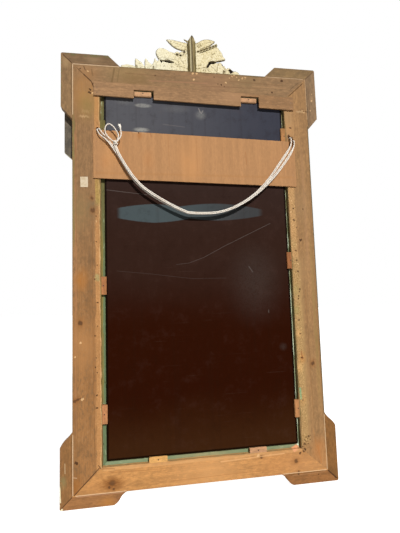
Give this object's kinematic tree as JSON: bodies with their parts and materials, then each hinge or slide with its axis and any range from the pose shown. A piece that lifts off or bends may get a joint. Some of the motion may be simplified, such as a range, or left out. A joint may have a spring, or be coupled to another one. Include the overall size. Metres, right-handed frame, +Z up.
{
  "type": "eared wall mirror",
  "caption": "Tall wall mirror in a mitred pine frame with stepped corners, a painted moulded front, a carved crest and a doubled hanging cord across its back.",
  "frame": {"origin": "on the ground under the middle of the two lower pairs of ear blocks, halfway between the batten's back and the edge moulding's front, without the cord", "axes": "+Z up the mirror, +Y out of its front (the mirror side), +X to the right of someone who looks at its back"},
  "size_m": [0.784, 0.0734, 1.3667],
  "materials": {
    "pine_frame": "bare aged pine, matt",
    "pine_ears": "bare aged pine, darker, matt",
    "mirror_glass": "silvered glass, its back painted dark brown",
    "pine_blocks": "bare pine, matt",
    "pine_boards": "bare pine, matt",
    "iron_nails": "dull, a little rusted",
    "label_paper": "yellowed, bare",
    "painted_front": "cream paint, worn",
    "strut_wood": "wood with a worn wash of paint",
    "painted_crest": "cream paint, worn",
    "white_cord": "white laid cord"
  },
  "bodies": {
    "root": {"left_stile": "pine_frame", "right_stile": "pine_frame", "top_rail": "pine_frame", "bottom_rail": "pine_frame", "ear_left_upper_side": "pine_ears", "ear_left_top": "pine_ears", "ear_right_upper_side": "pine_ears", "ear_right_top": "pine_ears", "ear_left_lower_side": "pine_ears", "ear_left_foot": "pine_ears", "ear_right_lower_side": "pine_ears", "ear_right_foot": "pine_ears", "mirror_pane": "mirror_glass", "glazing_block_left_low": "pine_blocks", "glazing_block_left_middle": "pine_blocks", "glazing_block_left_high": "pine_blocks", "glazing_block_right_low": "pine_blocks", "glazing_block_right_middle": "pine_blocks", "glazing_block_right_high": "pine_blocks", "glazing_block_bottom_left": "pine_blocks", "glazing_block_bottom_right": "pine_blocks", "glazing_block_top_left": "pine_blocks", "glazing_block_top_right": "pine_blocks", "top_batten": "pine_boards", "crossboard": "pine_boards", "glazing_block_nails": "iron_nails", "batten_nails": "iron_nails", "crossboard_nails": "iron_nails", "paper_label": "label_paper", "front_board_left": "painted_front", "front_board_bottom": "painted_front", "front_board_right": "painted_front", "front_board_top": "painted_front", "edge_moulding_left": "painted_front", "edge_moulding_bottom": "painted_front", "edge_moulding_right": "painted_front", "edge_moulding_top": "painted_front", "sight_moulding_top": "painted_front", "sight_moulding_right": "painted_front", "sight_moulding_bottom": "painted_front", "sight_moulding_left": "painted_front", "crest_strut": "strut_wood", "crest_carving": "painted_crest", "crest_spray_left": "painted_crest", "crest_spray_right": "painted_crest", "hanging_cord_long_pair": "white_cord", "hanging_cord_short_pair": "white_cord", "cord_bow_loop": "white_cord", "cord_loose_end": "white_cord", "cord_knot": "white_cord"}
  },
  "joints": []
}
